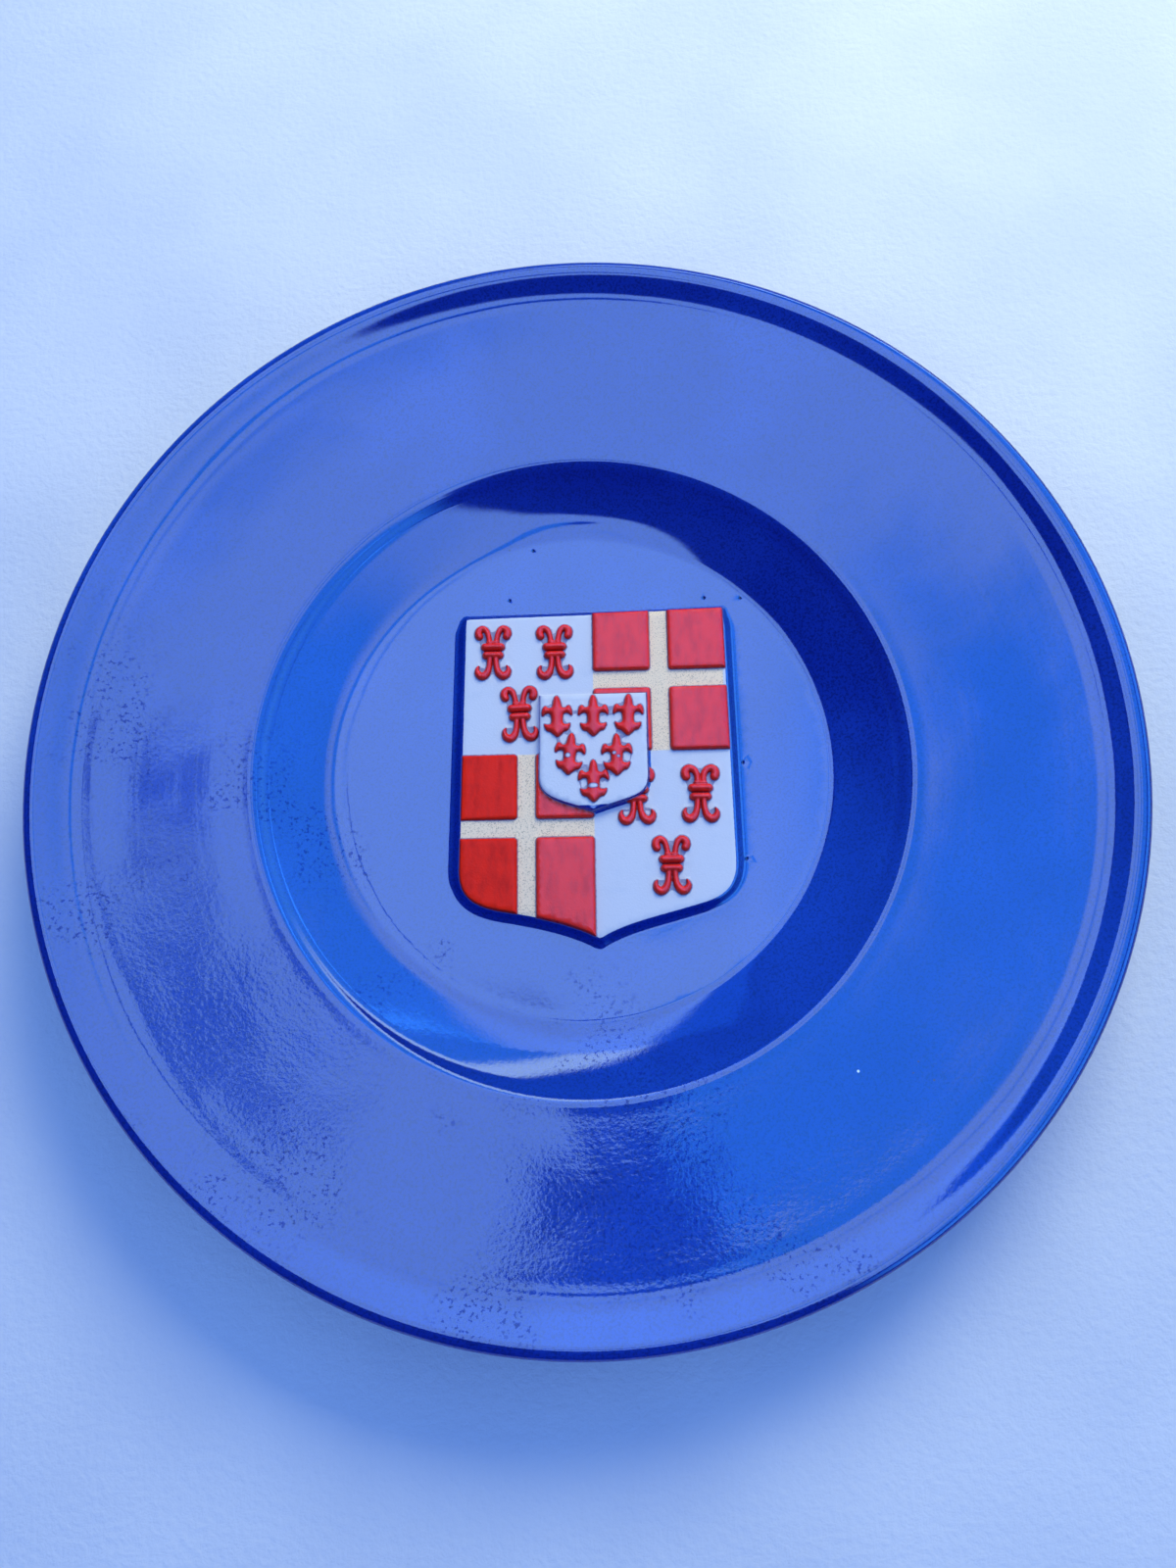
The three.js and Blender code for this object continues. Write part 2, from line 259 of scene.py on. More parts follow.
# Bands round the waist: height, reach either side, half-width and rise above the stems
CROOK_BANDS = [(2.8, 1.55, 0.42, 0.25), (1.45, 2.3, 1.15, 0.45), (-1.05, 1.95, 1.1, 0.4)]


def crook_strokes(merge=0.0):
    """Strokes of a double crook, as spine, half-widths and rise; merge draws the upper stems together."""
    strokes = []
    for side in (-1, 1):
        top = np.array(CROOK_TOP[0])
        top[:len(MERGE_SHIFTS), 0] -= merge * np.array(MERGE_SHIFTS)
        for points, widths in ((top, np.array(CROOK_TOP[1]) + MERGE_WIDENING * merge), CROOK_LEG):
            spine, halves = smooth_spine(np.array(points) * (side, 1), widths)
            strokes.append((spine, halves, CROOK_RISE))
    for height, reach, half, rise in CROOK_BANDS:
        ends = np.array([(-reach, height), (reach, height)])
        strokes.append((ends, np.array([half, half]), CROOK_RISE + rise))
    return strokes


# Right half of a lily, from the head's point down to the tail's
LILY_HALF = [
    (0, 6.2), (0.65, 5.7), (1.05, 4.6), (1.25, 3.3), (1.4, 2.7), (2.3, 2.45), (3.1, 3.25), (3.8, 3.0),
    (4.3, 1.7), (4.35, 0.4), (4.0, 0.1), (3.3, 0.8), (2.4, 1.0), (1.8, 0.6), (1.65, -0.4), (1.6, -1.6),
    (1.9, -2.25), (3.0, -2.3), (3.7, -1.95), (3.65, -3.0), (3.0, -4.2), (1.9, -4.4), (1.3, -5.1), (0, -6.2),
]


def lily_outline():
    """Both halves of a lily, its corners rounded off a little."""
    half = np.array(LILY_HALF)
    corners = np.vstack([half, half[-2:0:-1] * (-1, 1)])
    after = np.roll(corners, -1, axis=0)
    return np.stack([0.78 * corners + 0.22 * after, 0.22 * corners + 0.78 * after], axis=1).reshape(-1, 2)


# Where each charge lies about the fess point, slightly uneven: x, y, for a crook how far its upper stems
# are merged, and a turn in degrees
CROOKS = [
    (-28.6, 30.6, 0, 0), (-10.8, 30.3, 0, 1), (-20.9, 12.0, 0, 2),
    (29.5, -12.4, 1, -1), (11.7, -12.6, 0, 1), (20.9, -32.3, 0, 0),
]
LILIES = [
    (-10.1, 10.0, 1), (0.1, 10.0, 0), (9.9, 10.0, -2),
    (-6.6, -1.0, -6), (6.5, -1.5, 0), (-0.1, -8.9, 0),
]
CHARGE_REACH = (7.5, 10.5)


def near_charge(x, y, place, turn):
    """Which points are near a charge, and where they lie in its own upright frame."""
    near = (np.abs(x - place[0]) < CHARGE_REACH[0]) & (np.abs(y - place[1]) < CHARGE_REACH[1])
    c, s = math.cos(math.radians(turn)), math.sin(math.radians(turn))
    dx, dy = x[near] - place[0], y[near] - place[1]
    return near, c * dx + s * dy, c * dy - s * dx


def add_crook(f, place, merge, turn):
    """Lays one double crook into the fields."""
    near, px, py = near_charge(f["x"], f["y"], place, turn)
    for spine, widths, rise in crook_strokes(merge):
        edge, share = stroke_fields(px, py, spine, widths)
        f["crook"][near] = np.minimum(f["crook"][near], edge)
        f["crook_share"][near] = np.minimum(f["crook_share"][near], share)
        height = rise * np.sqrt(np.clip(1 - share ** CROOK_ROUNDNESS, 0, 1))
        f["crook_height"][near] = np.maximum(f["crook_height"][near], height)


def add_lily(f, place, turn):
    """Lays one lily into the fields: bevelled up to a ridge, stoutest along its body."""
    near, px, py = near_charge(f["x"], f["y"], place, turn)
    edge = outline_distance(px, py, LILY)
    f["lily"][near] = np.minimum(f["lily"][near], edge)
    body = np.exp(-(px / LILY_BODY_WIDTH) ** 2)
    height = (LILY_RISE + LILY_BODY_RISE * body) * shoulder(edge, LILY_SHOULDER)
    f["lily_height"][near] = np.maximum(f["lily_height"][near], height)


def shoulder(distance, width):
    """Rise from 0 at an edge to 1 at the given distance inside it, steep first and then round."""
    t = np.clip(-distance / width, 0, 1)
    return np.sqrt(1 - (1 - t) ** 2)


SHIELD = shield_outline()
SMALL_SHIELD = small_shield_outline()
LILY = lily_outline()
SHIELD_TOP = SHIELD[:, 1].max()


def square_distance(x, y, shield):
    """Distance to the raised squares in the angles of the two crosses."""
    nearest = np.full(x.shape, np.inf)
    for side in (1, -1):
        for across in (-1, 1):
            for up in (-1, 1):
                near_x = side * CROSS_CENTRE[0] + across * CROSS_WIDTH / 2
                near_y = side * CROSS_CENTRE[1] + up * CROSS_WIDTH / 2
                far_x = side * (SQUARE_REACH if across == side else SQUARE_MARGIN)
                far_y = side * (SQUARE_REACH if up == side else SQUARE_MARGIN)
                low = (min(near_x, far_x), min(near_y, far_y))
                high = (max(near_x, far_x), max(near_y, far_y))
                block = block_distance(x, y, low, high, SQUARE_CORNER)
                nearest = np.minimum(nearest, np.maximum(block, shield + SQUARE_EDGE))
    return nearest


def relief_fields(x, y):
    """Every distance and height of the relief at points about the fess point."""
    f = {"x": x, "y": y}
    f["shield"] = outline_distance(x, y, SHIELD)
    f["small"] = outline_distance(x, y, SMALL_SHIELD)
    f["square"] = square_distance(x, y, f["shield"])
    for name in ("crook", "crook_share", "lily"):
        f[name] = np.full(x.shape, np.inf)
    for name in ("crook_height", "lily_height"):
        f[name] = np.zeros(x.shape)
    for px, py, merge, turn in CROOKS:
        add_crook(f, (px, py), merge, turn)
    for px, py, turn in LILIES:
        add_lily(f, (px, py), turn)
    return f


def smooth_step(value, low, high):
    t = np.clip((value - low) / (high - low), 0, 1)
    return t * t * (3 - 2 * t)


def relief_height(f):
    """Height of the relief above the floor of the well."""
    x, y = f["x"], f["y"]
    upper = smooth_step(y, SHIELD_TOP + RAMP_TOP_FADE[0], SHIELD_TOP + RAMP_TOP_FADE[1])
    lower = smooth_step(-y, *RAMP_FOOT_FADE)
    width = RAMP_WIDTH + (RAMP_WIDTH_TOP - RAMP_WIDTH) * upper + (RAMP_WIDTH_FOOT - RAMP_WIDTH) * lower
    t = np.clip((width - f["shield"]) / (width + RAMP_INSET), 0, 1)
    ramp = FIELD_RISE * (0.5 - 0.5 * np.cos(math.pi * t)) ** RAMP_HOLLOW
    lean = np.where((x < -CROSS_CENTRE[0]) & (y < 0), math.tan(SQUARE_TILT) * (x + CROSS_CENTRE[0]), 0)
    under = ramp + (SQUARE_RISE + lean) * shoulder(f["square"], SQUARE_SHOULDER)
    under = np.maximum(under, ramp + f["crook_height"])
    top = FIELD_RISE + SMALL_SHIELD_RISE * shoulder(f["small"], SMALL_SHOULDER) + f["lily_height"]
    fillet = FILLET_HEIGHT * np.clip(1 - np.maximum(f["small"], 0) / FILLET_WIDTH, 0, 1) ** 2
    return np.where(f["small"] < 0, np.maximum(under, top + FILLET_HEIGHT), under + fillet)


# Contours of a raster, walked and spaced out evenly, so that mesh edges follow the relief's edges

def contours(field, level, xs, ys, spacing):
    """Lines of points where the raster field crosses the level."""
    value = field - level
    sign = value > 0
    points = {}
    joins = {}

    def crossing(i, j, di, dj):
        key = (i, j, di)
        if key not in points:
            a, b = value[i, j], value[i + di, j + dj]
            share = a / (a - b)
            points[key] = (xs[j] + (xs[j + dj] - xs[j]) * share, ys[i] + (ys[i + di] - ys[i]) * share)
        return key

    corners = sign[:-1, :-1].astype(int) + sign[1:, :-1] + sign[:-1, 1:] + sign[1:, 1:]
    for i, j in zip(*np.nonzero((corners > 0) & (corners < 4))):
        met = []
        if sign[i, j] != sign[i, j + 1]:
            met.append(crossing(i, j, 0, 1))
        if sign[i, j] != sign[i + 1, j]:
            met.append(crossing(i, j, 1, 0))
        if sign[i + 1, j] != sign[i + 1, j + 1]:
            met.append(crossing(i + 1, j, 0, 1))
        if sign[i, j + 1] != sign[i + 1, j + 1]:
            met.append(crossing(i, j + 1, 1, 0))
        for a, b in zip(met[::2], met[1::2]):
            joins.setdefault(a, []).append(b)
            joins.setdefault(b, []).append(a)
    lines = []
    seen = set()
    starts = sorted(k for k, v in joins.items() if len(v) == 1) + sorted(joins)
    for start in starts:
        if start in seen:
            continue
        walk = [start]
        seen.add(start)
        while True:
            ahead = [k for k in joins[walk[-1]] if k not in seen]
            if not ahead:
                break
            walk.append(ahead[0])
            seen.add(ahead[0])
        closed = len(walk) > 2 and start in joins[walk[-1]]
        places = np.array([points[k] for k in walk + [start] * closed])
        run = np.concatenate([[0], np.cumsum(np.hypot(*np.diff(places, axis=0).T))])
        if run[-1] < 2 * spacing:
            continue
        at = np.linspace(0, run[-1], max(4, round(run[-1] / spacing)) + 1)
        line = np.column_stack([np.interp(at, run, places[:, k]) for k in (0, 1)])
        lines.append((line[:-1], True) if closed else (line, False))
    return lines


# Contours drawn into the mesh: field, levels, spacing, and whether the small shield hides them. Levels are
# in millimetres, except crook_share's, which go from 0 at the spine to 1 at the edge
CONTOURS = (
    ("shield", (3.5, 2.9, 2.4, 1.9, 1.4, 1.0, 0.6, 0.2, -0.35), 0.8, False),
    ("square", (0.2, 0.0, -0.04, -0.13, -0.3, -0.6), 0.5, True),
    ("small", (0.9, 0.45, 0.0, -0.04, -0.13, -0.3, -0.6), 0.45, False),
    ("crook_share", (1.0, 0.97, 0.86, 0.66), 0.3, True),
    ("crook", (0.2,), 0.4, True),
    ("lily", (0.2, 0.0, -0.04, -0.15, -0.4), 0.3, False),
)


def on_floor(f):
    return f["shield"] > 4.4


def by_left_wall(f):
    radius = np.hypot(f["x"] + FESS_POINT[0], f["y"] + FESS_POINT[1])
    return (radius > 63) & (f["x"] < -10)


def on_field(f):
    """On the shield, clear of every contour."""
    inside = (f["shield"] < -1.0) & (np.abs(f["square"] + 0.2) > 0.9) & (np.abs(f["small"]) > 1.2)
    return inside & (f["crook"] > 0.7) & (f["lily"] > 0.7)


def on_charge(f):
    return ((f["crook_share"] < 0.6) & (f["small"] > 0.2)) | (f["lily"] < -0.5)


def relief_patch():
    """Points and triangles of the floor of the well, with the relief's edges drawn in."""
    xs = np.arange(*RASTER_X, RASTER)
    ys = np.arange(*RASTER_Y, RASTER)
    gx, gy = np.meshgrid(xs, ys)
    f = relief_fields(gx, gy)
    angles = np.arange(SEGMENTS) * 2 * math.pi / SEGMENTS
    ring = np.column_stack([PATCH_RADIUS * np.cos(angles) - FESS_POINT[0],
                            PATCH_RADIUS * np.sin(angles) - FESS_POINT[1]])
    points = [tuple(p) for p in ring]
    joins = [(i, (i + 1) % SEGMENTS) for i in range(SEGMENTS)]

    def draw(name, levels, spacing, shown=None):
        for level in levels:
            for line, closed in contours(f[name], level, xs, ys, spacing):
                if shown is None:
                    keep = np.ones(len(line), bool)
                else:
                    keep = shown(line[:, 0], line[:, 1])
                first = len(points)
                points.extend(map(tuple, line))
                count = len(line)
                for i in range(count if closed else count - 1):
                    k = (i + 1) % count
                    if keep[i] and keep[k]:
                        joins.append((first + i, first + k))

    def outside_small(x, y):
        return outline_distance(x, y, SMALL_SHIELD) > 0.05

    for name, levels, spacing, hidden in CONTOURS:
        draw(name, levels, spacing, outside_small if hidden else None)

    def spread(step, wanted):
        line = np.arange(-SPREAD_REACH, SPREAD_REACH, step)
        sx, sy = np.meshgrid(line, line)
        sx = sx + (np.arange(len(sx)) % 2)[:, None] * step / 2
        sx, sy = sx.ravel(), sy.ravel()
        inside = np.hypot(sx + FESS_POINT[0], sy + FESS_POINT[1]) < PATCH_RADIUS - SPREAD_MARGIN
        sx, sy = sx[inside], sy[inside]
        keep = wanted(relief_fields(sx, sy))
        points.extend(zip(sx[keep], sy[keep]))

    spread(FLOOR_STEP, on_floor)
    spread(LEFT_WALL_STEP, by_left_wall)
    spread(FIELD_STEP, on_field)
    spread(CHARGE_STEP, on_charge)
    for px, py in PINHOLES:
        cx, cy = px - FESS_POINT[0], py - FESS_POINT[1]
        points.append((cx, cy))
        for share, count in PINHOLE_RINGS:
            for turn in np.arange(count) * 2 * math.pi / count + share:
                reach = share * PINHOLE_RADIUS
                x, y = cx + reach * math.cos(turn), cy + reach * math.sin(turn)
                # A point past the patch's edge would leave stray faces over the turned part
                if math.hypot(x + FESS_POINT[0], y + FESS_POINT[1]) < PATCH_RADIUS - PATCH_MARGIN:
                    points.append((x, y))
    flat = [Vector(p) for p in points]
    out, _, faces, origins, _, _ = geometry.delaunay_2d_cdt(flat, joins, [], 0, 1e-4, True)
    out = np.array([tuple(p) for p in out])
    ring_index = {k: i for i, ids in enumerate(origins) for k in ids if k < SEGMENTS}
    return out, np.array(faces), [ring_index[k] for k in range(SEGMENTS)]


# Turned part of the plate, from the edge of the patch over the rim and back to the axis

# Distances from the rim and the slopes there in degrees, up to the top of the lip: a soft cove and a broad
# lip on most sides, and a narrower lip towards NARROW_SIDE
RIM_SLOPES = (
    (17.0, 11.9), (13.4, 12.5), (12.0, 15.0), (10.4, 20.0), (9.0, 25.5),
    (7.3, 30.9), (6.4, 31.9), (5.1, 26.0), (3.8, 15.5), (2.4, 0.0),
)
RIM_SLOPES_NARROW = (
    (17.0, 11.9), (15.0, 11.5), (13.5, 15.5), (11.5, 23.0),
    (9.5, 25.0), (3.7, 25.6), (3.1, 14.0), (2.4, 0.0),
)
NARROW_SIDE = math.radians(-135)
NARROW_FADE = (-0.35, 0.35)
RIM_STEPS = 34
# The flange's own points stop this far short of the cove's first one
COVE_GAP = 0.5


def slope_steps(start, end, steps):
    """Angles in even steps to the end, the start left out."""
    return start + (end - start) * np.arange(1, steps + 1) / steps


def turned_arc(point, heading, radius, target, steps):
    """Runs on from a point along an arc until its heading has turned to the target."""
    angles = slope_steps(heading, target, steps)
    return np.column_stack([point[0] + radius * (np.sin(angles) - math.sin(heading)),
                            point[1] + radius * (math.cos(heading) - np.cos(angles))])


def plate_section():
    """Radius and height round the plate's section, and how many of the points are on its face."""
    floor = np.array([(WELL_FLOOR_RADIUS, FLOOR_TOP)])
    wall = turned_arc(floor[-1], 0, WELL_WALL_RADIUS, WELL_WALL_SLOPE, WALL_STEPS)
    bend = turned_arc(wall[-1], WELL_WALL_SLOPE, -SHOULDER_RADIUS, FLANGE_INNER_SLOPE, BEND_STEPS)
    flange_width = RIM_RADIUS - LIP_RADIUS - COVE_WIDTH - bend[-1][0]
    flange_arc = flange_width / (math.sin(FLANGE_OUTER_SLOPE) - math.sin(FLANGE_INNER_SLOPE))
    flange = turned_arc(bend[-1], FLANGE_INNER_SLOPE, flange_arc, FLANGE_OUTER_SLOPE, FLANGE_STEPS)
    radii = rim_radii()
    start = radii[0]
    start_height = np.interp(start, flange[:, 0], flange[:, 1])
    cove = np.column_stack([radii, start_height + rim_height(RIM_SLOPES, radii)])
    lip = turned_arc(cove[-1], 0, -RIM_SLOPES[-1][0], -math.pi + FLANGE_OUTER_SLOPE, LIP_STEPS)
    slopes = np.concatenate([
        slope_steps(0, WELL_WALL_SLOPE, WALL_STEPS),
        slope_steps(WELL_WALL_SLOPE, FLANGE_INNER_SLOPE, BEND_STEPS),
        slope_steps(FLANGE_INNER_SLOPE, FLANGE_OUTER_SLOPE, FLANGE_STEPS),
    ])
    face = np.vstack([wall, bend, flange])
    inner = face[:, 0] < start - COVE_GAP
    slopes, face = slopes[inner], face[inner]
    outward = (face[:, 0] - WELL_FLOOR_RADIUS) / (RIM_RADIUS - WELL_FLOOR_RADIUS)
    thickness = WALL_THICKNESS + (2 * LIP_RADIUS - WALL_THICKNESS) * outward
    under = np.column_stack([face[:, 0], face[:, 1] - thickness / np.cos(slopes)])
    under = under[under[:, 0] > FOOT_OUTER_RADIUS + FOOT_EDGE][::-1]
    foot_top = under[-1][1] - FOOT_EDGE
    edge_across, edge_up = FOOT_EDGE_MIDDLE
    foot = np.array([
        (FOOT_OUTER_RADIUS + 0.1, foot_top + 0.25), (FOOT_OUTER_RADIUS, foot_top - 0.3),
        (FOOT_OUTER_RADIUS, FOOT_HEIGHT / 2), (FOOT_OUTER_RADIUS, FOOT_EDGE),
        (FOOT_OUTER_RADIUS - edge_across, edge_up), (FOOT_OUTER_RADIUS - FOOT_EDGE, 0),
        (FOOT_INNER_RADIUS + FOOT_EDGE, 0), (FOOT_INNER_RADIUS + edge_across, edge_up),
        (FOOT_INNER_RADIUS, FOOT_EDGE), (FOOT_INNER_RADIUS, FOOT_HEIGHT / 2),
        (FOOT_INNER_RADIUS, FOOT_HEIGHT - FOOT_EDGE),
        (FOOT_INNER_RADIUS - edge_across, FOOT_HEIGHT - edge_up),
        (FOOT_INNER_RADIUS - FOOT_EDGE, FOOT_HEIGHT),
    ])
    recess = np.array([(r, FOOT_HEIGHT) for r in RECESS_RADII])
    top = np.vstack([floor, face, cove, lip[:LIP_FACE_STEPS]])
    return np.vstack([top, lip[LIP_FACE_STEPS:], under, foot, recess]), len(top)


def hand_wave(x, y):
    """Slight unevenness of the thrown and glazed face, in millimetres, none at the lip."""
    radius = math.hypot(x, y)
    wide = noise.noise(Vector((x / WAVE_WIDE, y / WAVE_WIDE, WAVE_WIDE_SEED)))
    fine = noise.noise(Vector((x / WAVE_FINE, y / WAVE_FINE, WAVE_FINE_SEED)))
    fade = min(1.0, max(0.0, (WAVE_END - radius) / WAVE_FADE))
    return (WAVE_WIDE_HEIGHT * wide + WAVE_FINE_HEIGHT * fine) * fade


def corner_lift(radii, angles):
    """How far the cone of the well's wall stands above its round section, in millimetres."""

    def near(middle, spread):
        return np.exp(-(np.angle(np.exp(1j * (angles - middle))) / spread) ** 2)

    out = np.clip(radii - WELL_FLOOR_RADIUS, -WELL_FLOOR_RADIUS, WELL_WALL_RADIUS)
    arc = WELL_WALL_RADIUS - np.sqrt(WELL_WALL_RADIUS ** 2 - np.maximum(out, 0) ** 2)
    ragged = np.array([
        noise.noise(Vector((RAGGED_SCALE * math.cos(a), RAGGED_SCALE * math.sin(a), RAGGED_SEED)))
        for a in np.atleast_1d(angles)
    ])
    width = CORNER_ROUNDING * (1 + ragged) + CORNER_ROUNDING_LEFT * near(math.pi, LEFT_SPREAD)
    rounded = np.clip(out + width / 2, 0, width) ** 2 / (2 * width) + np.maximum(out - width / 2, 0)
    rise = np.maximum(math.tan(CORNER_SLOPE) * rounded - arc, 0)
    strength = 1 - near(SOFT_CORNER, SOFT_CORNER_SPREAD)
    strength = strength * (1 - FOOT_CORNER_SHARE * near(FOOT_CORNER, FOOT_CORNER_SPREAD))
    return rise * strength


def rim_height(slopes, radii):
    """Heights above the rim's start at the given radii, summed up from slopes at distances from the rim."""
    inward, angles = np.array(slopes).T
    middles = np.interp((radii[1:] + radii[:-1]) / 2, RIM_RADIUS - inward, angles)
    return np.concatenate([[0], np.cumsum(np.diff(radii) * np.tan(np.radians(middles)))])


def rim_radii():
    start = RIM_RADIUS - RIM_SLOPES[0][0]
    return np.linspace(start, RIM_RADIUS - RIM_SLOPES[-1][0], RIM_STEPS + 1)


def rim_lift(radius, angles):
    """How far the cove stands above its usual shape on the side where the lip is narrow."""
    radii = rim_radii()
    broad, narrow = rim_height(RIM_SLOPES, radii), rim_height(RIM_SLOPES_NARROW, radii)
    narrow = narrow * broad[-1] / narrow[-1]
    share = smooth_step(np.cos(angles - NARROW_SIDE), *NARROW_FADE)
    return share * np.interp(radius, radii, narrow - broad, 0, 0)


def plate_mesh():
    """One closed mesh: the relief patch, the turned part and the underside."""
    flat, patch_faces, ring = relief_patch()
    f = relief_fields(flat[:, 0], flat[:, 1])
    px, py = flat[:, 0] + FESS_POINT[0], flat[:, 1] + FESS_POINT[1]
    wave = np.array([hand_wave(x, y) for x, y in zip(px, py)])
    pits = np.zeros(len(px))
    for x, y in PINHOLES:
        pits += PINHOLE_DEPTH * (1 - smooth_step(np.hypot(px - x, py - y), PINHOLE_BOTTOM, PINHOLE_RADIUS))
    corner = corner_lift(np.hypot(px, py), np.arctan2(py, px))
    verts = [np.column_stack([px, py, FLOOR_TOP + relief_height(f) + wave + corner - pits])]
    faces = [tuple(t) for t in patch_faces]
    section, face_count = plate_section()
    angles = np.arange(SEGMENTS) * 2 * math.pi / SEGMENTS
    previous = ring
    count = len(flat)
    for k, (radius, height) in enumerate(section):
        x, y = radius * np.cos(angles), radius * np.sin(angles)
        lift = np.zeros(SEGMENTS)
        if k < face_count:
            lift = corner_lift(radius, angles) + rim_lift(radius, angles)
            lift = lift + [hand_wave(a, b) for a, b in zip(x, y)]
        verts.append(np.column_stack([x, y, height + lift]))
        current = list(range(count, count + SEGMENTS))
        for i in range(SEGMENTS):
            j = (i + 1) % SEGMENTS
            faces.append((previous[i], current[i], current[j], previous[j]))
        previous = current
        count += SEGMENTS
    verts.append([(0, 0, FOOT_HEIGHT)])
    for i in range(SEGMENTS):
        faces.append((previous[i], count, previous[(i + 1) % SEGMENTS]))
    mesh = bpy.data.meshes.new("plate")
    mesh.from_pydata((np.vstack(verts) * MM).tolist(), [], faces)
    mesh.shade_smooth()
    paint_attributes(mesh, f, len(flat))
    return mesh


def drill_wire_holes(plate):
    """Cuts the two holes for a hanging wire through the upper side of the foot ring."""
    middle = (FOOT_INNER_RADIUS + FOOT_OUTER_RADIUS) / 2
    for side in (-1, 1):
        place = Vector((side * WIRE_HOLE_SPACING / 2, middle, WIRE_HOLE_HEIGHT)) * MM
        shape = bmesh.new()
        bmesh.ops.create_cone(shape, cap_ends=True, segments=HOLE_SIDES, radius1=WIRE_HOLE_RADIUS * MM,
                              radius2=WIRE_HOLE_RADIUS * MM, depth=WIRE_HOLE_LENGTH * MM,
                              matrix=Matrix.Translation(place) @ Matrix.Rotation(math.pi / 2, 4, "X"))
        mesh = bpy.data.meshes.new("drill")
        shape.to_mesh(mesh)
        shape.free()
        drill = bpy.data.objects.new("drill", mesh)
        bpy.context.scene.collection.objects.link(drill)
        cut = plate.modifiers.new("cut", "BOOLEAN")
        cut.object = drill
        cut.operation = "DIFFERENCE"
        cut.solver = "MANIFOLD"
        bpy.context.view_layer.update()
        depsgraph = bpy.context.evaluated_depsgraph_get()
        drilled = bpy.data.meshes.new_from_object(plate.evaluated_get(depsgraph))
        # The solver leaves the mesh as it was, with a warning only, if the mesh isn't closed
        if len(drilled.polygons) == len(plate.data.polygons):
            raise RuntimeError("a wire hole was not cut")
        plate.modifiers.clear()
        plate.data = drilled
        bpy.data.objects.remove(drill)
        sharpen_hole(drilled, place)


HOLE_TOLERANCE = 0.02


def sharpen_hole(mesh, place):
    """Marks the edges round both mouths of a hole as sharp."""
    for edge in mesh.edges:
        a, b = (mesh.vertices[i].co for i in edge.vertices)
        if abs(a.y - b.y) > MM:
            continue
        reach = [math.hypot(p.x - place.x, p.z - place.z) / MM for p in (a, b)]
        if a.y > 0 and all(abs(r - WIRE_HOLE_RADIUS) < HOLE_TOLERANCE for r in reach):
            edge.use_edge_sharp = True


PAINT_REACH = 5.0
# Where the gold bar starts to fray out towards the shield's edge
GOLD_FRAY = 37.1
GOLD_FRAY_SLOPE = 0.3
# Spots on the lilies where the red gives way to white: middle and half sizes
WHITE_LILY_SPOTS = (
    (-7.1, -1.6, 0.75, 0.7), (5.8, -1.2, 0.55, 0.5), (7.0, -2.2, 0.45, 0.4), (-0.2, -10.4, 1.4, 0.7),
)
# How far the red runs past the edges of the squares, crooks and lilies
RED_PAST_SQUARE = 0.12
RED_PAST_CROOK = 0.05
RED_PAST_LILY = 0.04
SMALL_SHIELD_TIP = (-0.2, -17.4)


def paint_attributes(mesh, f, count):
    """How far inside each painted area a point is, in millimetres, negative outside it."""

    def store(name, values):
        layer = mesh.attributes.new(name, "FLOAT", "POINT")
        full = np.full(len(mesh.vertices), -PAINT_REACH)
        full[:count] = np.clip(values, -PAINT_REACH, PAINT_REACH)
        layer.data.foreach_set("value", full.astype(np.float32))

    x, y, shield, small = f["x"], f["y"], f["shield"], f["small"]
    # Unpainted line round the small shield, widest along its lower right edge and at its tip
    lean = np.clip((0.6 * x - 0.8 * y + 2) / 8, 0, 1)
    tip = np.clip(1 - np.hypot(x - SMALL_SHIELD_TIP[0], y - SMALL_SHIELD_TIP[1]) / 4.5, 0, 1)
    gap = 0.12 + 0.5 * lean
    red = np.maximum(-f["square"] + RED_PAST_SQUARE, -f["crook"] + RED_PAST_CROOK)
    red = np.minimum(red, small - 0.1)
    lily = -f["lily"] + RED_PAST_LILY
    for cx, cy, rx, ry in WHITE_LILY_SPOTS:
        lily = np.minimum(lily, (np.hypot((x - cx) / rx, (y - cy) / ry) - 1) * min(rx, ry))
    store("red", np.maximum(red, lily))
    right = -block_distance(x, y, (0.1, 0.2), (60, 60), 0.1)
    left = -block_distance(x, y, (-60, -60), (-0.1, -0.2), 0.1)
    gold = np.minimum(np.minimum(np.maximum(right, left), -shield - 0.1), small - 0.1)
    store("gold", np.minimum(gold, GOLD_FRAY_SLOPE * (GOLD_FRAY - x)))
    margin = 0.12 + 0.5 * smooth_step(y, SHIELD_TOP - 3, SHIELD_TOP)
    field = np.minimum(-shield - margin, small - gap)
    store("white", np.maximum(field, -small - 0.1 - 0.3 * lean - 1.6 * tip))


# Node trees

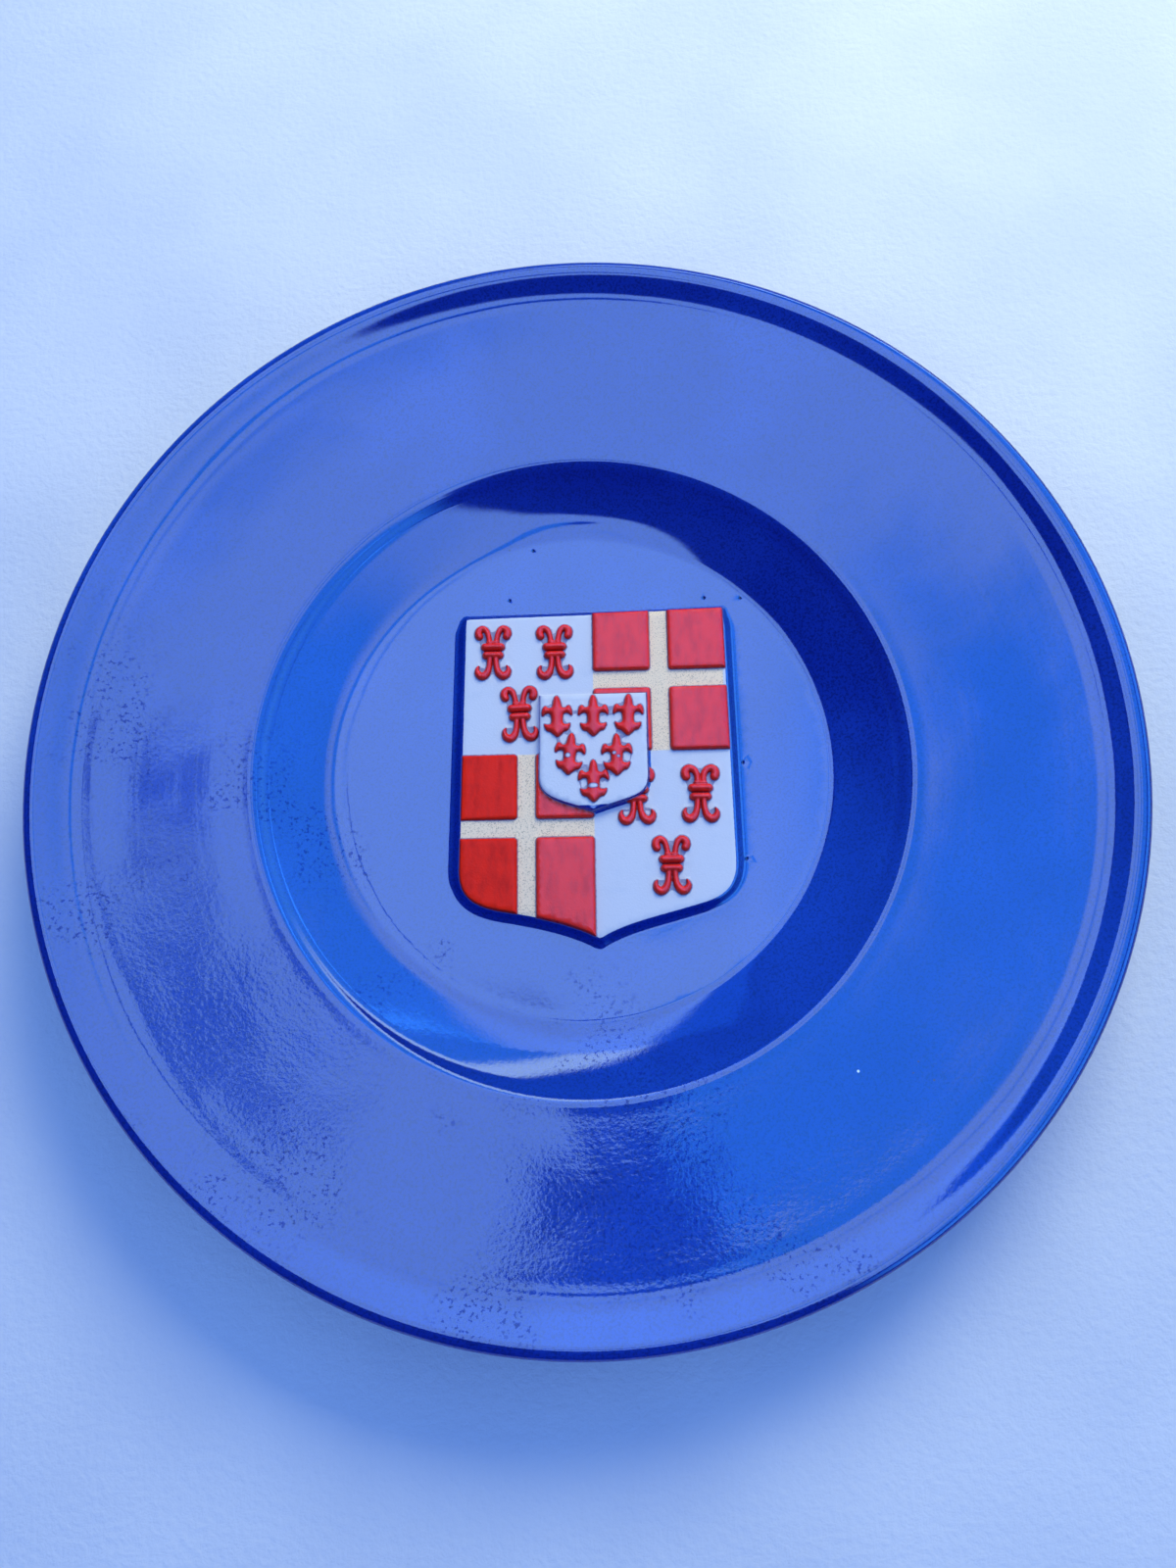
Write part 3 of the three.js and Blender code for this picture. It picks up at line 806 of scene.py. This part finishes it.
class Nodes:
    """A short way to write a node tree; place is the vector that its patterns follow."""

    def __init__(self, tree, source, output):
        self.tree = tree
        self.place = self.add(source).outputs[output]

    def add(self, kind, **settings):
        node = self.tree.nodes.new(kind)
        for key, value in settings.items():
            setattr(node, key, value)
        return node

    def put(self, value, socket):
        if isinstance(value, bpy.types.NodeSocket):
            self.tree.links.new(value, socket)
        else:
            socket.default_value = value

    def maths(self, operation, *values):
        node = self.add("ShaderNodeMath", operation=operation)
        for value, socket in zip(values, node.inputs):
            self.put(value, socket)
        return node.outputs[0]

    def vector(self, operation, *values):
        node = self.add("ShaderNodeVectorMath", operation=operation)
        for value, socket in zip(values, node.inputs):
            self.put(value, socket)
        gives_number = operation in ("LENGTH", "DISTANCE", "DOT_PRODUCT")
        return node.outputs["Value"] if gives_number else node.outputs[0]

    def split(self, vector):
        node = self.add("ShaderNodeSeparateXYZ")
        self.put(vector, node.inputs[0])
        return node.outputs

    def join(self, *values):
        node = self.add("ShaderNodeCombineXYZ")
        for value, socket in zip(values, node.inputs):
            self.put(value, socket)
        return node.outputs[0]

    def ramp(self, value, low, high, to_low=0.0, to_high=1.0):
        node = self.add("ShaderNodeMapRange", interpolation_type="SMOOTHSTEP")
        ends = (("From Min", low), ("From Max", high), ("To Min", to_low), ("To Max", to_high))
        for key, end in (("Value", value), *ends):
            self.put(end, node.inputs[key])
        return node.outputs[0]

    def noise(self, scale, detail=2.0, roughness=0.5, place=None):
        node = self.add("ShaderNodeTexNoise")
        self.put(self.place if place is None else place, node.inputs["Vector"])
        for key, value in (("Scale", scale), ("Detail", detail), ("Roughness", roughness)):
            node.inputs[key].default_value = value
        return node.outputs["Fac"]

    def mix(self, share, a, b):
        node = self.add("ShaderNodeMix", data_type="RGBA")
        self.put(share, node.inputs[0])
        self.put(a, node.inputs[6])
        self.put(b, node.inputs[7])
        return node.outputs[2]

    def blend(self, share, a, b):
        node = self.add("ShaderNodeMix", data_type="FLOAT")
        self.put(share, node.inputs[0])
        self.put(a, node.inputs[2])
        self.put(b, node.inputs[3])
        return node.outputs[0]

    def attribute(self, name):
        return self.add("ShaderNodeAttribute", attribute_name=name).outputs["Fac"]

    def bump(self, height, depth, onto=None):
        node = self.add("ShaderNodeBump")
        self.put(height, node.inputs["Height"])
        node.inputs["Distance"].default_value = depth
        if onto is not None:
            self.put(onto, node.inputs["Normal"])
        return node.outputs[0]


def new_material(name):
    material = bpy.data.materials.new(name)
    material.use_nodes = True
    nodes = Nodes(material.node_tree, "ShaderNodeTexCoord", "Object")
    return material, nodes, material.node_tree.nodes["Principled BSDF"]


# Materials

GLAZE = (0.004, 0.020, 0.27, 1)
GLAZE_THIN = (0.006, 0.032, 0.34, 1)
# Darkest glaze: a fine dark grain, and painted shade in the pinholes
GLAZE_DARK_AND_PIT_SHADE = (0.002, 0.005, 0.06, 1)
CLAY = (0.52, 0.40, 0.29, 1)
WHITE = (0.57, 0.58, 0.67, 1)
WHITE_SOILED = (0.48, 0.51, 0.62, 1)
RED = (0.84, 0.019, 0.006, 1)
RED_THIN = (0.60, 0.012, 0.006, 1)
# Red darkened as painted shade on the relief's steep sides
RED_EDGE_SHADE = (0.30, 0.010, 0.010, 1)
# Dark line of painted shade round the foot of the red relief
OUTLINE_SHADE = (0.10, 0.09, 0.24, 1)
GOLD = (0.88, 0.68, 0.48, 1)
GOLD_GRAIN = (0.34, 0.25, 0.17, 1)
# Way from the plate's middle to the side where the glaze is finely speckled
SPECKLED_SIDE = (-0.6, -0.8, 0)
# Way to the side where the glaze is rougher
ROUGH_SIDE = (-0.35, -0.94, 0)
# Specks on the glaze: place, radius and colour
SPECKS = (
    ((85.2, -81.6), 0.30, (0.06, 0.02, 0.03, 1)), ((83.7, -84.4), 0.25, (0.06, 0.02, 0.03, 1)),
    ((88.5, -86.2), 0.38, (0.05, 0.02, 0.05, 1)), ((70.2, -83.8), 0.42, (0.75, 0.80, 0.88, 1)),
    # A pinhole past the relief patch, with no pit in the mesh: a spot of painted shade
    ((-20.2, 67.4), 0.40, GLAZE_DARK_AND_PIT_SHADE),
)


# Noise patterns: scale per metre, detail and roughness
EDGE_NOISE = (900, 3.0, 0.6)
THICKNESS_NOISE = (24, 2.0, 0.5)
GLAZE_GRAIN_NOISE = (1500, 2.0, 0.6)
SOIL_NOISE = (160, 4.0, 0.6)
GOLD_GRAIN_NOISE = (2600, 2.0, 0.7)
STROKE_NOISE = (420, 3.0, 0.6)
SPECK_NOISE = (950, 2.0, 0.5)
SPECK_GROUP_NOISE = (30, 2.0, 0.6)
PEEL_NOISE = (800, 2.0, 0.55)
SWELL_NOISE = (75, 1.0, 0.4)
RING_NOISE = (330, 2.0, 0.6)
TOOTH_NOISE = (1800, 3.0, 0.65)
# Depths of the finish in metres
PEEL_DEPTH = 0.000011
SWELL_DEPTH = 0.00004
RING_DEPTH = 0.000008
TOOTH_DEPTH = 0.00006
# How far a painted edge wanders, in millimetres
EDGE_WANDER = 0.22
# Reach of the painted shade in the middle of a pinhole, and of the bare clay above the table
PINHOLE_SHADE = (0.50, 0.25)
CLAY_REACH = (0.30, 0.22)
# Distances from the red's edge over which painted shade darkens the red's steep sides and the white at its
# foot, and the shares there
RED_EDGE_SHADING = (0.35, 0.05, 0.0, 0.7)
RED_OUTLINE_SHADE = (-0.36, -0.12, 0.0, 0.75)
GLAZE_ROUGHNESS = 0.06
CLAY_ROUGHNESS = 0.85
WHITE_ROUGHNESS = 0.62
GOLD_ROUGHNESS = 0.7
GLAZE_IOR = 1.52
# Strengths of the gloss
FLANGE_GLOSS = 0.55
FLOOR_GLOSS = 0.67
PAINT_GLOSS = 0.35
RED_GLOSS = 0.22
RED_GLOSS_MATT = 0.04
SPECK_GLOSS_LOSS = 0.6


def plate_material():
    material, n, shader = new_material("cobalt_glaze")
    ragged = n.noise(*EDGE_NOISE)
    jitter = n.maths("MULTIPLY", n.maths("SUBTRACT", ragged, 0.5), EDGE_WANDER)

    def mask(name, soft=0.05):
        return n.ramp(n.maths("ADD", n.attribute(name), jitter), -soft, soft)

    white, gold, red = mask("white"), mask("gold"), mask("red")
    x, y, z = n.split(n.place)
    flat = n.join(x, y, 0.0)
    radius = n.vector("LENGTH", flat)

    # Glaze: a little thinner in places, darker in a fine grain, painted shade in pinholes, specks, bare
    # clay under the foot
    glaze = n.mix(n.ramp(n.noise(*THICKNESS_NOISE), 0.45, 0.75), GLAZE, GLAZE_THIN)
    glaze = n.mix(n.ramp(n.noise(*GLAZE_GRAIN_NOISE), 0.42, 0.68, 0.0, 0.55), glaze, GLAZE_DARK_AND_PIT_SHADE)
    # The dark middle of each pinhole is painted shade in its pit
    for px, py in PINHOLES:
        away = n.vector("DISTANCE", flat, (px * MM, py * MM, 0))
        glaze = n.mix(n.ramp(away, PINHOLE_SHADE[0] * MM, PINHOLE_SHADE[1] * MM), glaze, GLAZE_DARK_AND_PIT_SHADE)
    face = n.ramp(z, (FLOOR_TOP - 2) * MM, (FLOOR_TOP - 1) * MM)
    for (px, py), size, tone in SPECKS:
        away = n.vector("DISTANCE", flat, (px * MM, py * MM, 0))
        glaze = n.mix(n.maths("MULTIPLY", face, n.ramp(away, size * MM, 0.7 * size * MM)), glaze, tone)
    ragged_height = n.maths("ADD", z, n.maths("MULTIPLY", jitter, 1.2 * MM))
    bare = n.ramp(ragged_height, CLAY_REACH[0] * MM, CLAY_REACH[1] * MM)
    glaze = n.mix(bare, glaze, CLAY)

    soil = n.ramp(n.noise(*SOIL_NOISE), 0.5, 0.8, 0.0, 0.5)
    white_paint = n.mix(soil, WHITE, WHITE_SOILED)
    grain = n.ramp(n.noise(*GOLD_GRAIN_NOISE), 0.52, 0.66)
    gold_paint = n.mix(n.maths("MULTIPLY", grain, 0.8), GOLD, GOLD_GRAIN)
    strokes = n.noise(*STROKE_NOISE, n.join(x, n.maths("MULTIPLY", y, 0.35), z))
    red_paint = n.mix(n.ramp(strokes, 0.35, 0.8), RED, RED_THIN)
    inside_red = n.attribute("red")
    # Painted shade: the red darkens towards its edges, on the relief's steep sides
    red_paint = n.mix(n.ramp(inside_red, *RED_EDGE_SHADING), red_paint, RED_EDGE_SHADE)
    colour = n.mix(white, glaze, white_paint)
    colour = n.mix(gold, colour, gold_paint)
    # Painted shade: a dark line on the white round the foot of the red relief
    outline = n.ramp(n.maths("ADD", inside_red, n.maths("MULTIPLY", jitter, 2.0)), *RED_OUTLINE_SHADE)
    colour = n.mix(outline, colour, OUTLINE_SHADE)
    colour = n.mix(red, colour, red_paint)
    n.put(colour, shader.inputs["Base Color"])

    rough = n.blend(white, n.blend(bare, GLAZE_ROUGHNESS, CLAY_ROUGHNESS), WHITE_ROUGHNESS)
    rough = n.blend(gold, rough, GOLD_ROUGHNESS)
    rough = n.blend(red, rough, n.ramp(strokes, 0.3, 0.8, 0.22, 0.36))
    n.put(rough, shader.inputs["Roughness"])
    shader.inputs["IOR"].default_value = GLAZE_IOR
    side = n.vector("DOT_PRODUCT", flat, SPECKLED_SIDE)
    specks = n.ramp(n.noise(*SPECK_NOISE), 0.57, 0.66)
    specks = n.maths("MULTIPLY", specks, n.ramp(n.noise(*SPECK_GROUP_NOISE), 0.48, 0.60))
    specks = n.maths("MULTIPLY", specks, n.ramp(side, 0.03, 0.06))
    floor_edge = ((WELL_FLOOR_RADIUS + 1) * MM, (WELL_FLOOR_RADIUS - 1) * MM)
    glaze_gloss = n.ramp(radius, *floor_edge, FLANGE_GLOSS, FLOOR_GLOSS)
    kept_gloss = n.maths("SUBTRACT", 1.0, n.maths("MULTIPLY", specks, SPECK_GLOSS_LOSS))
    glaze_gloss = n.maths("MULTIPLY", glaze_gloss, kept_gloss)
    gloss = n.blend(n.maths("MAXIMUM", white, gold), glaze_gloss, PAINT_GLOSS)
    # The two squares left of the lower cross are less glossy
    cross_x = FESS_POINT[0] - CROSS_CENTRE[0]
    matt_side = n.ramp(x, (cross_x + 1) * MM, (cross_x - 1) * MM)
    below = n.ramp(y, (FESS_POINT[1] + 1) * MM, (FESS_POINT[1] - 1) * MM)
    matt_side = n.maths("MULTIPLY", matt_side, below)
    red_gloss = n.blend(matt_side, RED_GLOSS, RED_GLOSS_MATT)
    n.put(n.blend(red, gloss, red_gloss), shader.inputs["Specular IOR Level"])

    # Orange peel, slow swells and the faint rings left by turning; the paint has a tooth
    coarse = n.ramp(n.vector("DOT_PRODUCT", flat, ROUGH_SIDE), 0.045, 0.085, 0.4, 1.3)
    peel = n.bump(n.maths("MULTIPLY", n.noise(*PEEL_NOISE), coarse), PEEL_DEPTH)
    swell = n.bump(n.noise(*SWELL_NOISE), SWELL_DEPTH, peel)
    rings = n.bump(n.noise(*RING_NOISE, n.join(radius, 0.0, 0.0)), RING_DEPTH, swell)
    painted = n.maths("MAXIMUM", n.maths("MAXIMUM", white, gold), red)
    tooth = n.maths("MULTIPLY", painted, n.noise(*TOOTH_NOISE))
    n.put(n.bump(tooth, TOOTH_DEPTH, rings), shader.inputs["Normal"])
    return material


FLOOR_DEEP = (0.63, 0.65, 0.74, 1)
FLOOR_PALE = (0.70, 0.71, 0.78, 1)
FLOOR_PATCH_NOISE = (14, 3.0, 0.5)
FLOOR_TOOTH_NOISE = (420, 4.0, 0.6)
FLOOR_TOOTH_DEPTH = 0.0004
FLOOR_ROUGHNESS = 0.9
FLOOR_HALF_SIDE = 3.0


def floor_material():
    material, n, shader = new_material("pale_floor")
    tone = n.ramp(n.noise(*FLOOR_PATCH_NOISE), 0.3, 0.7)
    n.put(n.mix(tone, FLOOR_DEEP, FLOOR_PALE), shader.inputs["Base Color"])
    shader.inputs["Roughness"].default_value = FLOOR_ROUGHNESS
    n.put(n.bump(n.noise(*FLOOR_TOOTH_NOISE), FLOOR_TOOTH_DEPTH), shader.inputs["Normal"])
    return material


# Floor, lights and camera

def add_floor():
    mesh = bpy.data.meshes.new("floor")
    side = FLOOR_HALF_SIDE
    corners = [(-side, -side, 0), (side, -side, 0), (side, side, 0), (-side, side, 0)]
    mesh.from_pydata(corners, [], [(0, 1, 2, 3)])
    mesh.materials.append(floor_material())
    floor = bpy.data.objects.new("floor", mesh)
    bpy.context.scene.collection.objects.link(floor)


def add_softbox(name, place, aim, size, power, colour):
    """A rectangular light of (width, height) that faces the aim point."""
    data = bpy.data.lights.new(name, "AREA")
    data.shape = "RECTANGLE"
    data.size, data.size_y = size
    data.energy = power
    data.color = colour
    light = bpy.data.objects.new(name, data)
    light.visible_camera = False
    bpy.context.scene.collection.objects.link(light)
    back = (Vector(place) - Vector(aim)).normalized()
    right = Vector((0, 1, 0)).cross(back) if abs(back.z) > 0.9 else Vector((0, 0, 1)).cross(back)
    right.normalize()
    turn = Matrix((right, back.cross(right), back)).transposed().to_4x4()
    light.matrix_world = Matrix.Translation(place) @ turn
    return light


# Overhead panel, which is seen in the glaze and doesn't light anything else: its patches are ellipses
# with a place, radii, turn in degrees, share of the radii that is full, and colour
PANEL_HEIGHT = 1.0
PANEL_CENTRE = (0.195, 0.125)
PANEL_SIZE = (1.11, 1.35)
PANEL_POWER = 37.1
PANEL_COLOUR = (0.227, 0.443, 1.0, 1)
PANEL_MID = (0.038, 0.27, 1.03, 1)
PANEL_DEEP = (0.005, 0.055, 0.38, 1)
PANEL_DARK = (0.002, 0.006, 0.025, 1)
PANEL_LIT = (0.10, 0.31, 1.0, 1)
PANEL_SHADE = (0.012, 0.09, 0.55, 1)
PANEL_PATCHES = (
    ((1.05, 0.20), (0.92, 1.35), 0, 0.75, PANEL_MID),
    ((0.90, 0.85), (0.85, 0.50), 0, 0.85, PANEL_MID),
    ((-0.50, 0.78), (0.34, 0.34), 0, 0.8, PANEL_DEEP),
    ((-0.42, -0.70), (0.80, 0.76), 0, 0.93, PANEL_DARK),
    ((-0.192, 0.232), (0.012, 0.019), 0, 0.5, PANEL_DEEP),
    ((0.46, 0.27), (0.22, 0.27), 0, 0.85, PANEL_MID),
    ((0.103, 0.225), (0.062, 0.165), -5, 0.25, PANEL_MID),
    ((0.045, 0.115), (0.100, 0.054), 35, 0.5, PANEL_MID),
    ((-0.105, 0.290), (0.090, 0.060), 30, 0.0, PANEL_LIT),
    ((-0.165, 0.163), (0.018, 0.075), 27, 0.4, PANEL_SHADE),
    ((-0.030, 0.102), (0.044, 0.038), 10, 0.75, PANEL_DEEP),
)


def add_panel():
    place = (*PANEL_CENTRE, PANEL_HEIGHT)
    panel = add_softbox("overhead", place, (*PANEL_CENTRE, 0), PANEL_SIZE, PANEL_POWER, (1, 1, 1))
    panel.visible_diffuse = False
    panel.data.use_nodes = True
    n = Nodes(panel.data.node_tree, "ShaderNodeNewGeometry", "Position")
    colour = PANEL_COLOUR
    for centre, radii, turn, core, tone in PANEL_PATCHES:
        mapping = n.add("ShaderNodeMapping", vector_type="TEXTURE")
        n.put(n.place, mapping.inputs["Vector"])
        mapping.inputs["Location"].default_value = (*centre, PANEL_HEIGHT)
        mapping.inputs["Rotation"].default_value = (0, 0, math.radians(turn))
        mapping.inputs["Scale"].default_value = (*radii, 1)
        away = n.vector("LENGTH", mapping.outputs[0])
        colour = n.mix(n.ramp(away, 1.0, core), colour, tone)
    n.put(colour, n.tree.nodes["Emission"].inputs["Color"])


# Surroundings: an even light for all but the glaze, which shows a lit side above a dark skyline
ROOM = (0.20, 0.41, 1.0, 1)
SKY_MID = (0.28, 2.0, 7.9, 1)
SKY_LOW = (0.45, 2.6, 8.3, 1)
SKY_WHITE = (4.5, 7.0, 10.5, 1)
SKY_DARK = (0.02, 0.05, 0.20, 1)
SKY_DARK_LEFT = (0.05, 0.50, 3.0, 1)
# Sines of the heights between which the surroundings give way to the overhead panel
PANEL_SKY_TOP = 0.86
PANEL_SKY_FOOT = 0.80
LIT_SKY_TOP = 0.755
LIT_SKY_FOOT = 0.735
SKYLINE = math.radians(10)
SKYLINE_BACK = math.radians(35.5)
SKYLINE_FALL = 0.75
# Angles in degrees over which a part comes in: round from +X, up from the horizon or over the skyline
LIT_FROM = (-62, -50)
LIT_TO = (110, 98)
LIT_ABOVE = (-1, 4)
LOW_BLUE = (45, 20)
WHITE_FROM = (40, 62)
WHITE_ABOVE = (14, 9)
LEFT_FROM = (60, 90)
LEFT_TO = (178, 130)


def add_room():
    world = bpy.data.worlds.new("room")
    bpy.context.scene.world = world
    world.use_nodes = True
    n = Nodes(world.node_tree, "ShaderNodeTexCoord", "Generated")

    def step(value, low, high):
        """Ramp between two angles in degrees."""
        return n.ramp(value, math.radians(low), math.radians(high))

    x, y, z = n.split(n.place)
    turn = n.maths("ARCTAN2", y, x)
    height = n.maths("ARCSINE", z)
    slant = n.maths("MULTIPLY_ADD", turn, SKYLINE_FALL, SKYLINE_BACK - SKYLINE_FALL * math.pi / 2)
    above = n.maths("SUBTRACT", height, n.maths("MAXIMUM", slant, SKYLINE))
    lit = n.maths("MULTIPLY", step(turn, *LIT_FROM), step(turn, *LIT_TO))
    lit = n.maths("MULTIPLY", lit, step(above, *LIT_ABOVE))
    lit = n.maths("MULTIPLY", lit, n.ramp(z, LIT_SKY_TOP, LIT_SKY_FOOT))
    blue = n.mix(step(height, *LOW_BLUE), SKY_MID, SKY_LOW)
    white = n.maths("MULTIPLY", step(turn, *WHITE_FROM), step(above, *WHITE_ABOVE))
    bright = n.mix(white, blue, SKY_WHITE)
    left = n.maths("MULTIPLY", step(turn, *LEFT_FROM), step(turn, *LEFT_TO))
    dark = n.mix(left, SKY_DARK, SKY_DARK_LEFT)
    glossy = n.add("ShaderNodeLightPath").outputs["Is Glossy Ray"]
    below = n.mix(n.ramp(z, PANEL_SKY_TOP, PANEL_SKY_FOOT), (0, 0, 0, 1), n.mix(lit, dark, bright))
    shown = n.mix(glossy, ROOM, below)
    n.put(shown, n.tree.nodes["Background"].inputs["Color"])


# Key light, which shows in no gloss
KEY_PLACE = (0.30, 0.65, 0.60)
KEY_AIM = (0, 0, 0.02)
KEY_SIZE = (0.5, 0.4)
KEY_POWER = 7.2
KEY_COLOUR = (0.97, 1.0, 0.56)


def add_lights():
    add_panel()
    add_room()
    key = add_softbox("key", KEY_PLACE, KEY_AIM, KEY_SIZE, KEY_POWER, KEY_COLOUR)
    key.visible_glossy = False


# Camera fitted to the plate's outline in the photograph of 1200 by 1600 pixels
CAMERA_PLACE = (14.06, -81.93, 332.6)
CAMERA_TURN = math.radians(8.783)
CAMERA_TILT = math.radians(13.684)
CAMERA_UP_TURN = math.radians(0.8)
FOCAL_PIXELS = 1203.0
PHOTO_HEIGHT = 1600.0
SENSOR = 36.0


def add_camera():
    data = bpy.data.cameras.new("camera")
    data.sensor_width = SENSOR
    data.lens = FOCAL_PIXELS / PHOTO_HEIGHT * SENSOR
    data.clip_start = 0.01
    away = math.sin(CAMERA_TILT)
    back = Vector((math.sin(CAMERA_TURN) * away, -math.cos(CAMERA_TURN) * away, math.cos(CAMERA_TILT)))
    north = Vector((math.sin(CAMERA_UP_TURN), math.cos(CAMERA_UP_TURN), 0))
    right = (-back).cross(north).normalized()
    up = right.cross(-back)
    camera = bpy.data.objects.new("camera", data)
    turn = Matrix((right, up, back)).transposed().to_4x4()
    camera.matrix_world = Matrix.Translation(Vector(CAMERA_PLACE) * MM) @ turn
    bpy.context.scene.collection.objects.link(camera)
    bpy.context.scene.camera = camera


add_camera()
add_floor()
add_lights()
bpy.context.scene.view_settings.view_transform = "Standard"

plate = bpy.data.objects.new("plate", plate_mesh())
bpy.context.scene.collection.objects.link(plate)
drill_wire_holes(plate)
plate.data.materials.clear()
plate.data.materials.append(plate_material())
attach(plate, "root")
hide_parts(NODE)
